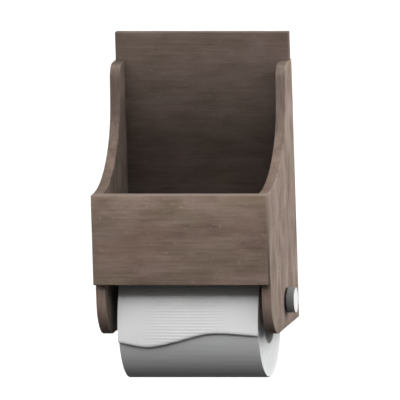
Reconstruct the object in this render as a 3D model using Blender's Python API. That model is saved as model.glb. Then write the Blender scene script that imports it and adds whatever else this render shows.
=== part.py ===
"""Wall-hung toilet roll holder: a wooden box on two shaped side boards, over a roll on a pull-out rod.

Metres, +Z up. The wall plane is Y = 0 and the front looks along -Y. The origin lies on the wall plane,
on the centre line, at the height of the two wall screws that carry the holder. Heights in this file are
measured from the lower ends of the side boards, and one empty moves the whole holder to that origin.
"""

import math

import bmesh
import bpy
from mathutils import Matrix, Vector

# The roll that the case is built around
ROLL_LENGTH = 0.117
ROLL_RADIUS = 0.0496
CORE_BORE_RADIUS = 0.02075
CORE_WALL = 0.001
ROLL_EDGE_ROUND = 0.0012
ROLL_END_GAP = 0.0065
ROLL_HEADROOM = 0.002
ROLL_WALL_GAP = 0.0006

# The loose last sheet, which lies on the roll and hangs past its front
SHEET_THICKNESS = 0.0005
SHEET_LAP_ANGLE = math.radians(78)
SHEET_DROP = 0.0175
SHEET_CURL = 0.0015
# Across the sheet, from its left edge at -1 to its right edge at 1, and down, as shares of the longest drop
TORN_EDGE_SHARES = ((-1.0, 0.77), (-0.59, 1.0), (0.03, 0.56), (0.44, 0.37), (1.0, 0.5))

# Wooden case
SIDE_THICKNESS = 0.008
BACK_THICKNESS = 0.008
FLOOR_THICKNESS = 0.008
FRONT_THICKNESS = 0.010
ROD_TO_EAR_FRONT = 0.065
EAR_RADIUS = 0.031
FRONT_APRON = 0.0158
BOX_DEPTH = 0.0507
SWEEP_HEIGHT = 0.065
NECK_DEPTH_BASE = 0.0325
NECK_DEPTH_TOP = 0.030
NECK_RISE = 0.0277
SHOULDER_RADIUS = 0.011
BACK_RISE = 0.0231
BACK_END_INSET = 0.001
EDGE_EASE = 0.0006
GLUE_GAP = 0.0003

# Dowels in the glued joints, and the wood left behind the end of one in a board's face
DOWEL_RADIUS = 0.002
DOWEL_LENGTH = 0.016
DOWEL_CHAMFER = 0.0005
DOWEL_CLEARANCE = 0.0003
DOWEL_SKIN = 0.003
# Places of the dowels along each joint, as shares of the joint's length
FRONT_DOWEL_SHARES = (0.2, 0.8)
BACK_DOWEL_SHARES = (0.15, 0.45, 0.75)
FLOOR_DOWEL_SHARES = (0.25, 0.75)
FLOOR_EDGE_DOWEL_SHARES = (0.25, 0.75)

# Pull-out rod, its washer and its knob
ROD_HEIGHT = 0.022
ROD_RADIUS = 0.0065
ROD_CHAMFER = 0.0008
ROD_CLEARANCE = 0.00035
SOCKET_SKIN = 0.0025
STUD_RADIUS = 0.003
STUD_CHAMFER = 0.0005
WASHER_INSET = 0.0002
WASHER_THICKNESS = 0.0010
KNOB_RADIUS = 0.0104
KNOB_LENGTH = 0.0065
KNOB_END_WALL = 0.0023
KNOB_CHAMFER = 0.0006
SEAT_GAP = 0.0003

# Keyhole plates let into the back board, each over a pocket for the head of a wall screw
HANG_DROP = 0.0245
PLATE_INSET = 0.020
PLATE_LEDGE = 0.0024
PLATE_LAND = 0.0099
PLATE_THICKNESS = 0.0015
PLATE_CORNER = 0.004
KEYHOLE_RADIUS = 0.0046
KEYHOLE_SLOT_RADIUS = 0.0023
KEYHOLE_TRAVEL = 0.011
POCKET_SKIN = 0.002
POCKET_MARGIN = 0.0010
PLATE_CLEARANCE = 0.0003

# Countersunk screws of the keyhole plates
SCREW_HEAD_RADIUS = 0.0027
SCREW_SHANK_RADIUS = 0.0013
SCREW_HEAD_HEIGHT = 0.0012
SCREW_SKIN = 0.0025
SCREW_TIP = 0.0012
SCREW_CLEARANCE = 0.0003
CROSS_REACH = 0.0015
CROSS_WIDTH = 0.0005
CROSS_DEPTH = 0.0007

# How finely round shapes are drawn, and how far cutters run past what they cut
OVERRUN = 0.002
ROLL_STEPS = 64
ROD_STEPS = 32
KNOB_STEPS = 40
DOWEL_STEPS = 12
SCREW_STEPS = 16
ARC_STEPS = 12
SWEEP_STEPS = 20
SHEET_ARC_STEPS = 12
SHEET_DROP_STEPS = 5
SHEET_ACROSS_STEPS = 24

# Sizes that follow from those above
INNER_WIDTH = ROLL_LENGTH + 2 * ROLL_END_GAP
CASE_WIDTH = INNER_WIDTH + 2 * SIDE_THICKNESS
CORE_RADIUS = CORE_BORE_RADIUS + CORE_WALL
SHEET_INNER_RADIUS = ROLL_RADIUS + SEAT_GAP
SHEET_OUTER_RADIUS = SHEET_INNER_RADIUS + SHEET_THICKNESS
SWING_RADIUS = max(SHEET_OUTER_RADIUS, math.hypot(SHEET_OUTER_RADIUS - SHEET_CURL, SHEET_DROP))
ROD_TO_WALL = SWING_RADIUS + ROLL_WALL_GAP
ROLL_HEIGHT = ROD_HEIGHT + ROD_RADIUS + SEAT_GAP - CORE_BORE_RADIUS
FLOOR_UNDERSIDE = ROLL_HEIGHT + SWING_RADIUS + ROLL_HEADROOM
FLOOR_TOP = FLOOR_UNDERSIDE + FLOOR_THICKNESS
FRONT_BOTTOM = FLOOR_UNDERSIDE - FRONT_APRON
FRONT_TOP = FLOOR_TOP + BOX_DEPTH
SWEEP_TOP = FRONT_TOP + SWEEP_HEIGHT
SIDE_DEPTH = ROD_TO_WALL + ROD_TO_EAR_FRONT
SIDE_HEIGHT = SWEEP_TOP + NECK_RISE
BACK_TOP = SIDE_HEIGHT + BACK_RISE
DOWEL_DEPTH_IN_FACE = min(SIDE_THICKNESS, BACK_THICKNESS, FRONT_THICKNESS) - DOWEL_SKIN
BORE_RADIUS = ROD_RADIUS + ROD_CLEARANCE
SOCKET_DEPTH = SIDE_THICKNESS - SOCKET_SKIN
HANG_HEIGHT = BACK_TOP - HANG_DROP
PLATE_MIDDLE = HANG_HEIGHT - KEYHOLE_TRAVEL / 2
POCKET_RADIUS = KEYHOLE_RADIUS + POCKET_MARGIN
POCKET_DEPTH = BACK_THICKNESS - POCKET_SKIN
PLATE_WIDTH = 2 * (POCKET_RADIUS + PLATE_LEDGE)
PLATE_HEIGHT = KEYHOLE_TRAVEL + 2 * (POCKET_RADIUS + PLATE_LAND)
SCREW_LENGTH = BACK_THICKNESS - SCREW_SKIN

FRONT = Vector((0, -1, 0))
LEFT_AND_RIGHT = (("left", -1), ("right", 1))


def clear_scene():
    for obj in list(bpy.data.objects):
        bpy.data.objects.remove(obj)


def make_material(name, colour, roughness, metallic=0.0):
    material = bpy.data.materials.new(name)
    material.use_nodes = True
    shader = material.node_tree.nodes["Principled BSDF"]
    shader.inputs["Base Color"].default_value = (*colour, 1.0)
    shader.inputs["Roughness"].default_value = roughness
    shader.inputs["Metallic"].default_value = metallic
    material.diffuse_color = (*colour, 1.0)
    return material


def make_empty(name, parent, location):
    empty = bpy.data.objects.new(name, None)
    bpy.context.scene.collection.objects.link(empty)
    empty.parent = parent
    empty.location = location
    return empty


def finish_object(name, bm, material, parent, location=(0, 0, 0), smooth_angle=None):
    """Turns a bmesh into a named object with its faces pointing out."""
    bmesh.ops.recalc_face_normals(bm, faces=bm.faces)
    mesh = bpy.data.meshes.new(name)
    bm.to_mesh(mesh)
    bm.free()
    if smooth_angle is not None:
        mesh.shade_smooth()
        mesh.set_sharp_from_angle(angle=smooth_angle)
    if material is not None:
        mesh.materials.append(material)
    obj = bpy.data.objects.new(name, mesh)
    bpy.context.scene.collection.objects.link(obj)
    obj.parent = parent
    obj.location = location
    return obj


def rounded_outline(corners):
    """Outline through (u, v, radius) corners, each rounded by an arc that is limited by its two sides."""
    count = len(corners)
    points = [Vector(c[:2]) for c in corners]
    reach = []
    for i in range(count):
        back = (points[i - 1] - points[i]).normalized()
        ahead = (points[(i + 1) % count] - points[i]).normalized()
        reach.append(corners[i][2] / math.tan(back.angle(ahead) / 2))
    for i in range(count):
        j = (i + 1) % count
        room = (points[j] - points[i]).length
        if reach[i] + reach[j] > room:
            share = room / (reach[i] + reach[j])
            reach[i] *= share
            reach[j] *= share
    outline = []
    for i in range(count):
        if reach[i] == 0:
            outline.append(points[i])
            continue
        back = (points[i - 1] - points[i]).normalized()
        ahead = (points[(i + 1) % count] - points[i]).normalized()
        half = back.angle(ahead) / 2
        radius = reach[i] * math.tan(half)
        centre = points[i] + (back + ahead).normalized() * (radius / math.sin(half))
        first = points[i] + back * reach[i] - centre
        last = points[i] + ahead * reach[i] - centre
        turn = first.angle_signed(last)
        steps = max(3, math.ceil(ARC_STEPS * abs(turn) / (math.pi / 2)))
        for step in range(steps + 1):
            outline.append(centre + Matrix.Rotation(-turn * step / steps, 2) @ first)
    return outline


def prism(outline, along, start, end):
    """Closed solid: an outline of (u, v) points drawn across one axis and extruded along it."""
    place = {
        "x": lambda p, at: (at, p[0], p[1]),
        "y": lambda p, at: (p[0], at, p[1]),
        "z": lambda p, at: (p[0], p[1], at),
    }[along]
    bm = bmesh.new()
    face = bm.faces.new([bm.verts.new(place(p, start)) for p in outline])
    grown = bmesh.ops.extrude_face_region(bm, geom=[face])
    shift = Vector(place((0, 0), end - start))
    bmesh.ops.translate(bm, verts=[v for v in grown["geom"] if isinstance(v, bmesh.types.BMVert)], vec=shift)
    return bm


def turned(profile, steps, along="x"):
    """Closed solid of revolution about X or Y: a closed loop of (distance along, radius) points."""
    axis = Vector((1, 0, 0)) if along == "x" else Vector((0, 1, 0))
    bm = bmesh.new()
    verts = [bm.verts.new(axis * at + Vector((0, 0, radius))) for at, radius in profile]
    edges = []
    for a, b in zip(verts, verts[1:] + verts[:1]):
        if a.co.z > 0 or b.co.z > 0:
            edges.append(bm.edges.new((a, b)))
    bmesh.ops.spin(bm, geom=verts + edges, cent=(0, 0, 0), axis=axis, angle=math.tau, steps=steps,
                   use_merge=True)
    bmesh.ops.remove_doubles(bm, verts=bm.verts, dist=GLUE_GAP / 100)
    return bm


def rod_profile(start, end, radius, chamfer):
    return [(start, 0), (start, radius - chamfer), (start + chamfer, radius), (end - chamfer, radius),
            (end, radius - chamfer), (end, 0)]


def tube_profile(half_length, inner, outer, edge_round):
    """Section of a tube, its two outer edges rounded in two steps."""
    halfway = edge_round * (1 - math.sqrt(0.5))
    corner = [(half_length, outer - edge_round), (half_length - halfway, outer - halfway),
              (half_length - edge_round, outer)]
    left = [(-x, radius) for x, radius in corner]
    return [(-half_length, inner)] + left + corner[::-1] + [(half_length, inner)]


def ease_edges(obj):
    """Sanded edges: a small bevel on every sharp edge."""
    bevel = obj.modifiers.new("eased edges", "BEVEL")
    bevel.width = EDGE_EASE
    bevel.segments = 2
    bevel.limit_method = "ANGLE"


def cut(obj, name, bm, parent, location=(0, 0, 0)):
    """Cuts a shape out of an object and hides the cutter."""
    cutter = finish_object(name, bm, None, parent, location)
    cutter.hide_render = True
    cutter.display_type = "WIRE"
    boolean = obj.modifiers.new(name, "BOOLEAN")
    boolean.operation = "DIFFERENCE"
    boolean.solver = "EXACT"
    boolean.object = cutter


def side_outline():
    """Side board seen from the right: depth runs along Y, with the wall at 0, and height along Z.

    Above the rim of the box its front edge sweeps back to the neck as a quarter of an ellipse.
    """
    sweep = []
    for step in range(SWEEP_STEPS + 1):
        angle = math.pi / 2 * step / SWEEP_STEPS
        y = -SIDE_DEPTH + (SIDE_DEPTH - NECK_DEPTH_BASE) * math.sin(angle)
        sweep.append((y, SWEEP_TOP - SWEEP_HEIGHT * math.cos(angle), 0))
    foot = [(0, 0, 0), (-SIDE_DEPTH, 0, EAR_RADIUS)]
    head = [(-NECK_DEPTH_TOP, SIDE_HEIGHT, SHOULDER_RADIUS), (0, SIDE_HEIGHT, 0)]
    return rounded_outline(foot + sweep + head)


def back_outline():
    """Back board from behind: a wide head over a body that drops between the side boards."""
    head = CASE_WIDTH / 2 - BACK_END_INSET
    body = INNER_WIDTH / 2 - GLUE_GAP
    shoulder = SIDE_HEIGHT + GLUE_GAP
    half = [(body, FLOOR_UNDERSIDE), (body, shoulder), (head, shoulder), (head, BACK_TOP)]
    return half + [(-x, z) for x, z in reversed(half)]


def rectangle(u_low, u_high, v_low, v_high):
    return [(u_low, v_low), (u_high, v_low), (u_high, v_high), (u_low, v_high)]


def build_side(name, side, wood, parent):
    """A side board with the rod's hole: a blind socket on the left, a through bore on the right."""
    inner = side * INNER_WIDTH / 2
    solid = prism(side_outline(), "x", inner, inner + side * SIDE_THICKNESS)
    board = finish_object(name, solid, wood, parent)
    ease_edges(board)
    hole_depth = SOCKET_DEPTH if side < 0 else SIDE_THICKNESS + OVERRUN
    start, end = sorted((inner - side * OVERRUN, inner + side * hole_depth))
    bore = turned([(start, 0), (start, BORE_RADIUS), (end, BORE_RADIUS), (end, 0)], ROD_STEPS)
    cut(board, name + " rod hole", bore, parent, (0, -ROD_TO_WALL, ROD_HEIGHT))
    return board


def build_boards(wood, parent):
    boards = {}
    for word, side in LEFT_AND_RIGHT:
        boards[word] = build_side(word + "_side_board", side, wood, parent)
    back = finish_object("back_board", prism(back_outline(), "y", -BACK_THICKNESS, 0), wood, parent)
    face = rectangle(-CASE_WIDTH / 2, CASE_WIDTH / 2, FRONT_BOTTOM, FRONT_TOP)
    seat = -SIDE_DEPTH - GLUE_GAP
    front = finish_object("front_board", prism(face, "y", seat - FRONT_THICKNESS, seat), wood, parent)
    half = INNER_WIDTH / 2 - GLUE_GAP
    plan = rectangle(-half, half, -SIDE_DEPTH, -BACK_THICKNESS - GLUE_GAP)
    floor = finish_object("box_floor", prism(plan, "z", FLOOR_UNDERSIDE, FLOOR_TOP), wood, parent)
    for board in (back, front, floor):
        ease_edges(board)
    boards.update(back=back, front=front, floor=floor)
    return boards


def place_dowel(name, at, direction, face_board, edge_board, wood, parent):
    """A dowel whose short end is in a board's face and whose long end is in the other board's edge.

    at is the point where the joint's line crosses the face, and direction runs from there into the edge.
    """
    along = "x" if direction.x else "y"
    sign = direction.x + direction.y
    start = -DOWEL_DEPTH_IN_FACE
    end = DOWEL_LENGTH - DOWEL_DEPTH_IN_FACE
    low, high = sorted((sign * start, sign * end))
    stick = turned(rod_profile(low, high, DOWEL_RADIUS, DOWEL_CHAMFER), DOWEL_STEPS, along)
    finish_object(name, stick, wood, parent, at)
    hole = DOWEL_RADIUS + DOWEL_CLEARANCE
    for board, near, far in ((face_board, start - DOWEL_CLEARANCE, GLUE_GAP + OVERRUN),
                             (edge_board, -OVERRUN, end + DOWEL_CLEARANCE)):
        low, high = sorted((sign * near, sign * far))
        drill = turned([(low, 0), (low, hole), (high, hole), (high, 0)], DOWEL_STEPS, along)
        cut(board, name + " hole in " + board.name, drill, parent, at)


def build_dowels(boards, wood, parent):
    """Blind dowels hold every joint, so no fastener shows from outside."""
    inner = INNER_WIDTH / 2
    floor_middle = (FLOOR_UNDERSIDE + FLOOR_TOP) / 2
    floor_depth = SIDE_DEPTH - BACK_THICKNESS
    body_height = SIDE_HEIGHT - FLOOR_UNDERSIDE
    for word, side in LEFT_AND_RIGHT:
        middle = side * (inner + SIDE_THICKNESS / 2)
        inward = Vector((-side, 0, 0))
        for n, share in enumerate(FRONT_DOWEL_SHARES, 1):
            at = (middle, -SIDE_DEPTH - GLUE_GAP, FRONT_BOTTOM + share * (FRONT_TOP - FRONT_BOTTOM))
            place_dowel(f"front_dowel_{word}_{n}", at, -FRONT, boards["front"], boards[word], wood, parent)
        for n, share in enumerate(BACK_DOWEL_SHARES, 1):
            at = (side * inner, -BACK_THICKNESS / 2, FLOOR_UNDERSIDE + share * body_height)
            place_dowel(f"back_dowel_{word}_{n}", at, inward, boards[word], boards["back"], wood, parent)
        for n, share in enumerate(FLOOR_DOWEL_SHARES, 1):
            at = (side * inner, -BACK_THICKNESS - share * floor_depth, floor_middle)
            place_dowel(f"floor_dowel_{word}_{n}", at, inward, boards[word], boards["floor"], wood, parent)
    for n, share in enumerate(FLOOR_EDGE_DOWEL_SHARES, 1):
        x = (share - 1 / 2) * INNER_WIDTH
        at = (x, -SIDE_DEPTH - GLUE_GAP, floor_middle)
        place_dowel(f"floor_dowel_front_{n}", at, -FRONT, boards["front"], boards["floor"], wood, parent)
        at = (x, -BACK_THICKNESS, floor_middle)
        place_dowel(f"floor_dowel_back_{n}", at, FRONT, boards["back"], boards["floor"], wood, parent)


def arc(radius, height, start, end):
    """(x, z) points of an arc about (0, height), from one angle to another."""
    steps = math.ceil(ARC_STEPS * (end - start) / math.pi)
    angles = [start + (end - start) * step / steps for step in range(steps + 1)]
    return [(radius * math.cos(angle), height + radius * math.sin(angle)) for angle in angles]


def keyhole_outline(round_radius, slot_radius):
    """Keyhole seen along Y, its round part centred on (0, 0) and its slot running up to the seat."""
    meet = math.asin(slot_radius / round_radius)
    entry = arc(round_radius, 0, math.pi / 2 + meet, math.tau + math.pi / 2 - meet)
    return entry + arc(slot_radius, KEYHOLE_TRAVEL, 0, math.pi)


def plate_outline(margin):
    u, v, r = PLATE_WIDTH / 2 + margin, PLATE_HEIGHT / 2 + margin, PLATE_CORNER + margin
    return rounded_outline([(-u, -v, r), (u, -v, r), (u, v, r), (-u, v, r)])


def screw_profile(margin):
    """Countersunk screw whose flat head faces the wall at 0 and whose tip points to -Y."""
    head, shank = SCREW_HEAD_RADIUS + margin, SCREW_SHANK_RADIUS + margin
    return [(0, 0), (0, head), (-SCREW_HEAD_HEIGHT, shank), (SCREW_TIP - SCREW_LENGTH - margin, shank),
            (-SCREW_LENGTH - margin, 0)]


def cross_recess():
    """Cutter for the driver's cross in a screw head."""
    reach, arm = CROSS_REACH, CROSS_WIDTH / 2
    outline = [(arm, arm), (arm, reach), (-arm, reach), (-arm, arm), (-reach, arm), (-reach, -arm),
               (-arm, -arm), (-arm, -reach), (arm, -reach), (arm, -arm), (reach, -arm), (reach, arm)]
    return prism(outline, "y", -CROSS_DEPTH, OVERRUN)


def build_hanger(word, side, boards, steel, parent):
    """A keyhole plate let in flush, with a pocket behind it for the wall screw's head, and its two screws."""
    x = side * (INNER_WIDTH / 2 - PLATE_INSET)
    centre = (x, 0, PLATE_MIDDLE)
    keyhole = (x, 0, HANG_HEIGHT - KEYHOLE_TRAVEL)
    plate = finish_object("keyhole_plate_" + word, prism(plate_outline(0), "y", -PLATE_THICKNESS, 0), steel,
                          parent, centre)
    cut(plate, f"{word} keyhole", prism(keyhole_outline(KEYHOLE_RADIUS, KEYHOLE_SLOT_RADIUS), "y",
                                        -PLATE_THICKNESS - OVERRUN, OVERRUN), parent, keyhole)
    recess = prism(plate_outline(PLATE_CLEARANCE), "y", -PLATE_THICKNESS - PLATE_CLEARANCE, OVERRUN)
    cut(boards["back"], f"{word} plate recess", recess, parent, centre)
    pocket = keyhole_outline(POCKET_RADIUS, POCKET_RADIUS)
    cut(boards["back"], f"{word} head pocket", prism(pocket, "y", -POCKET_DEPTH, OVERRUN), parent, keyhole)
    for place, way in (("lower", -1), ("upper", 1)):
        at = (x, 0, PLATE_MIDDLE + way * (PLATE_HEIGHT - PLATE_LAND) / 2)
        name = f"plate_screw_{word}_{place}"
        screw = finish_object(name, turned(screw_profile(0), SCREW_STEPS, "y"), steel, parent, at)
        cut(screw, name + " cross", cross_recess(), parent, at)
        opened = screw_profile(SCREW_CLEARANCE)
        mouth = [(OVERRUN, 0), (OVERRUN, opened[1][1])] + opened[1:]
        for board in (plate, boards["back"]):
            cut(board, name + " hole in " + board.name, turned(mouth, SCREW_STEPS, "y"), parent, at)


def build_rod(steel, chrome, rubber, rod_axis):
    """Rod with a threaded stud, the washer against the right board, and the knob on the stud."""
    left_end = -INNER_WIDTH / 2 - SOCKET_DEPTH + ROD_CLEARANCE
    shoulder = CASE_WIDTH / 2
    washer_start = shoulder + SEAT_GAP
    washer_end = washer_start + WASHER_THICKNESS
    knob_start = washer_end + SEAT_GAP
    knob_end = knob_start + KNOB_LENGTH
    hole_end = knob_end - KNOB_END_WALL
    stud_end = hole_end - SEAT_GAP
    profile = rod_profile(left_end, shoulder, ROD_RADIUS, ROD_CHAMFER)[:-1]
    profile += [(shoulder, STUD_RADIUS), (stud_end - STUD_CHAMFER, STUD_RADIUS),
                (stud_end, STUD_RADIUS - STUD_CHAMFER), (stud_end, 0)]
    finish_object("roll_rod", turned(profile, ROD_STEPS), steel, rod_axis, smooth_angle=math.radians(30))
    hole = STUD_RADIUS + ROD_CLEARANCE
    rim = KNOB_RADIUS - WASHER_INSET
    washer = turned([(washer_start, hole), (washer_start, rim), (washer_end, rim), (washer_end, hole)],
                    KNOB_STEPS)
    finish_object("rod_washer", washer, rubber, rod_axis, smooth_angle=math.radians(30))
    knob = turned([(knob_start, hole)] + rod_profile(knob_start, knob_end, KNOB_RADIUS, KNOB_CHAMFER)[1:]
                  + [(hole_end, 0), (hole_end, hole)], KNOB_STEPS)
    finish_object("rod_knob", knob, chrome, rod_axis, smooth_angle=math.radians(30))


def torn_edge(across):
    """Drop of the sheet's torn edge at a place across it, on a smooth curve through the chosen shares."""
    knots = TORN_EDGE_SHARES
    i = next(n for n in range(len(knots) - 1) if across <= knots[n + 1][0])
    slope = []
    for n in (i, i + 1):
        before, after = knots[max(n - 1, 0)], knots[min(n + 1, len(knots) - 1)]
        slope.append((after[1] - before[1]) / (after[0] - before[0]))
    (x0, y0), (x1, y1) = knots[i], knots[i + 1]
    span = x1 - x0
    t = (across - x0) / span
    share = (y0 * (2 * t ** 3 - 3 * t ** 2 + 1) + slope[0] * span * (t ** 3 - 2 * t ** 2 + t)
             + y1 * (3 * t ** 2 - 2 * t ** 3) + slope[1] * span * (t ** 3 - t ** 2))
    return SHEET_DROP * share


def sheet_line(radius, drop):
    """(y, z) points of the sheet from its lap on the roll to its torn edge, about the roll's axis."""
    line = []
    for step in range(SHEET_ARC_STEPS + 1):
        angle = SHEET_LAP_ANGLE * (1 - step / SHEET_ARC_STEPS)
        line.append((-radius * math.cos(angle), radius * math.sin(angle)))
    for step in range(1, SHEET_DROP_STEPS + 1):
        down = drop * step / SHEET_DROP_STEPS
        line.append((-radius + SHEET_CURL * (down / SHEET_DROP) ** 2, -down))
    return line


def build_sheet(paper, roll_axis):
    """The loose sheet: two skins, one for each face of the paper, joined round their edges."""
    bm = bmesh.new()
    skins = []
    for radius in (SHEET_INNER_RADIUS, SHEET_OUTER_RADIUS):
        skin = []
        for column in range(SHEET_ACROSS_STEPS + 1):
            across = 2 * column / SHEET_ACROSS_STEPS - 1
            x = across * ROLL_LENGTH / 2
            skin.append([bm.verts.new((x, y, z)) for y, z in sheet_line(radius, torn_edge(across))])
        skins.append(skin)
    rows = SHEET_ARC_STEPS + SHEET_DROP_STEPS
    for inner, outer in zip(zip(skins[0], skins[0][1:]), zip(skins[1], skins[1][1:])):
        for j in range(rows):
            for a, b in (inner, outer):
                bm.faces.new((a[j], b[j], b[j + 1], a[j + 1]))
        for j in (0, rows):
            bm.faces.new((inner[0][j], inner[1][j], outer[1][j], outer[0][j]))
    for column in (0, SHEET_ACROSS_STEPS):
        inner, outer = skins[0][column], skins[1][column]
        for j in range(rows):
            bm.faces.new((inner[j], inner[j + 1], outer[j + 1], outer[j]))
    finish_object("loose_sheet", bm, paper, roll_axis, smooth_angle=math.radians(40))


def build_roll(paper, card, roll_axis):
    """Paper wound on a card core, which hangs on the rod by the inside of the core."""
    half = ROLL_LENGTH / 2
    core = turned([(-half, CORE_BORE_RADIUS), (-half, CORE_RADIUS), (half, CORE_RADIUS),
                   (half, CORE_BORE_RADIUS)], ROLL_STEPS)
    finish_object("card_core", core, card, roll_axis, smooth_angle=math.radians(30))
    wound = turned(tube_profile(half, CORE_RADIUS + SEAT_GAP, ROLL_RADIUS, ROLL_EDGE_ROUND), ROLL_STEPS)
    finish_object("paper_roll", wound, paper, roll_axis, smooth_angle=math.radians(30))
    build_sheet(paper, roll_axis)


def main():
    clear_scene()
    wood = make_material("stained wood", (0.165, 0.118, 0.092), 0.7)
    dowel_wood = make_material("beech", (0.55, 0.40, 0.26), 0.7)
    steel = make_material("steel", (0.55, 0.55, 0.56), 0.35, 1.0)
    chrome = make_material("chrome", (0.80, 0.80, 0.82), 0.12, 1.0)
    rubber = make_material("black rubber", (0.02, 0.02, 0.02), 0.8)
    paper = make_material("white paper", (0.85, 0.85, 0.85), 0.95)
    card = make_material("grey card", (0.42, 0.36, 0.29), 0.9)

    holder = make_empty("holder", None, (0, 0, -HANG_HEIGHT))
    rod_axis = make_empty("rod axis", holder, (0, -ROD_TO_WALL, ROD_HEIGHT))
    roll_axis = make_empty("roll axis", holder, (0, -ROD_TO_WALL, ROLL_HEIGHT))

    boards = build_boards(wood, holder)
    build_dowels(boards, dowel_wood, holder)
    for word, side in LEFT_AND_RIGHT:
        build_hanger(word, side, boards, steel, holder)
    build_rod(steel, chrome, rubber, rod_axis)
    build_roll(paper, card, roll_axis)


main()
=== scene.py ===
import math

import bmesh
import bpy
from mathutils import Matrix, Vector, kdtree, noise


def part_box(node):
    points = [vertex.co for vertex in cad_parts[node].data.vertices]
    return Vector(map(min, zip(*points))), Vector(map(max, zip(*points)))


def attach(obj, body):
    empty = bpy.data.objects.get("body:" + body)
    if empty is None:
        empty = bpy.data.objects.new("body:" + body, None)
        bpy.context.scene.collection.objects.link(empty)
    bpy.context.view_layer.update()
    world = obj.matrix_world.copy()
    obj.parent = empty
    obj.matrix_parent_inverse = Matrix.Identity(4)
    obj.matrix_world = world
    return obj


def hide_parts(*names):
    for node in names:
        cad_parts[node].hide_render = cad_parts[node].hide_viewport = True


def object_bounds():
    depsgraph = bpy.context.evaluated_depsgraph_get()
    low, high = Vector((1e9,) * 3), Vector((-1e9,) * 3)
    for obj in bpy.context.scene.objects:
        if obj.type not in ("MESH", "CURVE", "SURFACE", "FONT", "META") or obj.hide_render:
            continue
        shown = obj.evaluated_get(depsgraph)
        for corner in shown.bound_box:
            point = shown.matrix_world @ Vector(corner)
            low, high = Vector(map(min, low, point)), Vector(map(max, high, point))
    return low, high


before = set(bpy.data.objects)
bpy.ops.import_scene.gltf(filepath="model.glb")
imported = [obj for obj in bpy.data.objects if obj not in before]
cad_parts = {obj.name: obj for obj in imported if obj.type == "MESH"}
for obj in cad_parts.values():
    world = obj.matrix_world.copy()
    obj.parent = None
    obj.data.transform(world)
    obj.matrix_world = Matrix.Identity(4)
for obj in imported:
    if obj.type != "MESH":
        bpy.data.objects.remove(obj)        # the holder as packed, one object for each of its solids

cadLow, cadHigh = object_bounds()
mm = 0.001


# modelling helpers

def nothing():        # clears the selection before a new primitive comes in
    if bpy.context.mode != "OBJECT":
        bpy.ops.object.mode_set(mode="OBJECT")
    bpy.ops.object.select_all(action="DESELECT")


def only(piece):      # makes a piece the one selected and active object
    nothing()
    piece.select_set(True)
    bpy.context.view_layer.objects.active = piece


def edit(piece):
    only(piece)
    bpy.ops.object.mode_set(mode="EDIT")


def settle(name=None):        # puts the new primitive's place, turn and size into its mesh
    piece = bpy.context.active_object
    bpy.ops.object.transform_apply(location=True, rotation=True, scale=True)
    if name:
        piece.name = piece.data.name = name
    return piece


def block(low, high, name=None):      # a cube primitive stretched between two corners
    nothing()
    bpy.ops.mesh.primitive_cube_add(size=1, location=[(a + b) / 2 for a, b in zip(low, high)])
    bpy.context.active_object.scale = [b - a for a, b in zip(low, high)]
    return settle(name)


def roundBar(fromX, toX, middle, radius, sides, name=None):       # a cylinder primitive along x
    nothing()
    bpy.ops.mesh.primitive_cylinder_add(vertices=sides, radius=radius, depth=abs(toX - fromX),
                                        location=((fromX + toX) / 2, middle.y, middle.z),
                                        rotation=(0, math.pi / 2, 0))
    return settle(name)


def pick(piece, kind, test):      # in edit mode, selects the faces, edges or corners that pass a test
    bpy.ops.mesh.select_mode(type=kind)
    bpy.ops.mesh.select_all(action="DESELECT")
    mesh = bmesh.from_edit_mesh(piece.data)
    for part in {"VERT": mesh.verts, "EDGE": mesh.edges, "FACE": mesh.faces}[kind]:
        if test(part):
            part.select_set(True)
    mesh.select_flush_mode()
    bmesh.update_edit_mesh(piece.data)


def near(a, b, slack=0.05 * mm):
    return abs(a - b) < slack


def pickRim(piece, at, middle, radius):       # selects the circle of edges at one place along x
    pick(piece, "EDGE", lambda e: all(near(v.co.x, at) and near((v.co - middle).yz.length, radius)
                                      for v in e.verts))


def roundEdges(offset, steps):        # rounds the selected edges
    bpy.ops.mesh.bevel(offset=offset, segments=steps, affect="EDGES")


def cutAway(piece, tool):     # takes a tool's shape out of a piece, and throws the tool away
    only(piece)
    cut = piece.modifiers.new("cut", "BOOLEAN")
    cut.operation, cut.solver, cut.object = "DIFFERENCE", "EXACT", tool
    bpy.ops.object.modifier_apply(modifier="cut")
    bpy.data.objects.remove(tool)


def applied(piece, kind, **settings):     # adds a modifier and applies it
    only(piece)
    added = piece.modifiers.new("step", kind)
    for key, value in settings.items():
        setattr(added, key, value)
    bpy.ops.object.modifier_apply(modifier="step")


def sliceAcross(piece, axis, gap):        # cuts level lines right round a piece, for later shaping
    edit(piece)
    spots = [v.co[axis] for v in bmesh.from_edit_mesh(piece.data).verts]
    low, high = min(spots), max(spots)
    count = max(1, round((high - low) / gap))
    for n in range(1, count):
        at, way = [0, 0, 0], [0, 0, 0]
        at[axis], way[axis] = low + (high - low) * n / count, 1
        bpy.ops.mesh.select_all(action="SELECT")
        bpy.ops.mesh.bisect(plane_co=at, plane_no=way)
    bpy.ops.object.mode_set(mode="OBJECT")


def smooth(piece, degrees):       # shades it smooth, but for edges sharper than this
    only(piece)
    bpy.ops.object.shade_smooth_by_angle(angle=math.radians(degrees))


def dress(piece, body, node, material):     # hands a finished piece over to the frame
    piece.data.materials.clear()
    piece.data.materials.append(material)
    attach(piece, body)
    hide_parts(node)


# shader helpers

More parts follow.
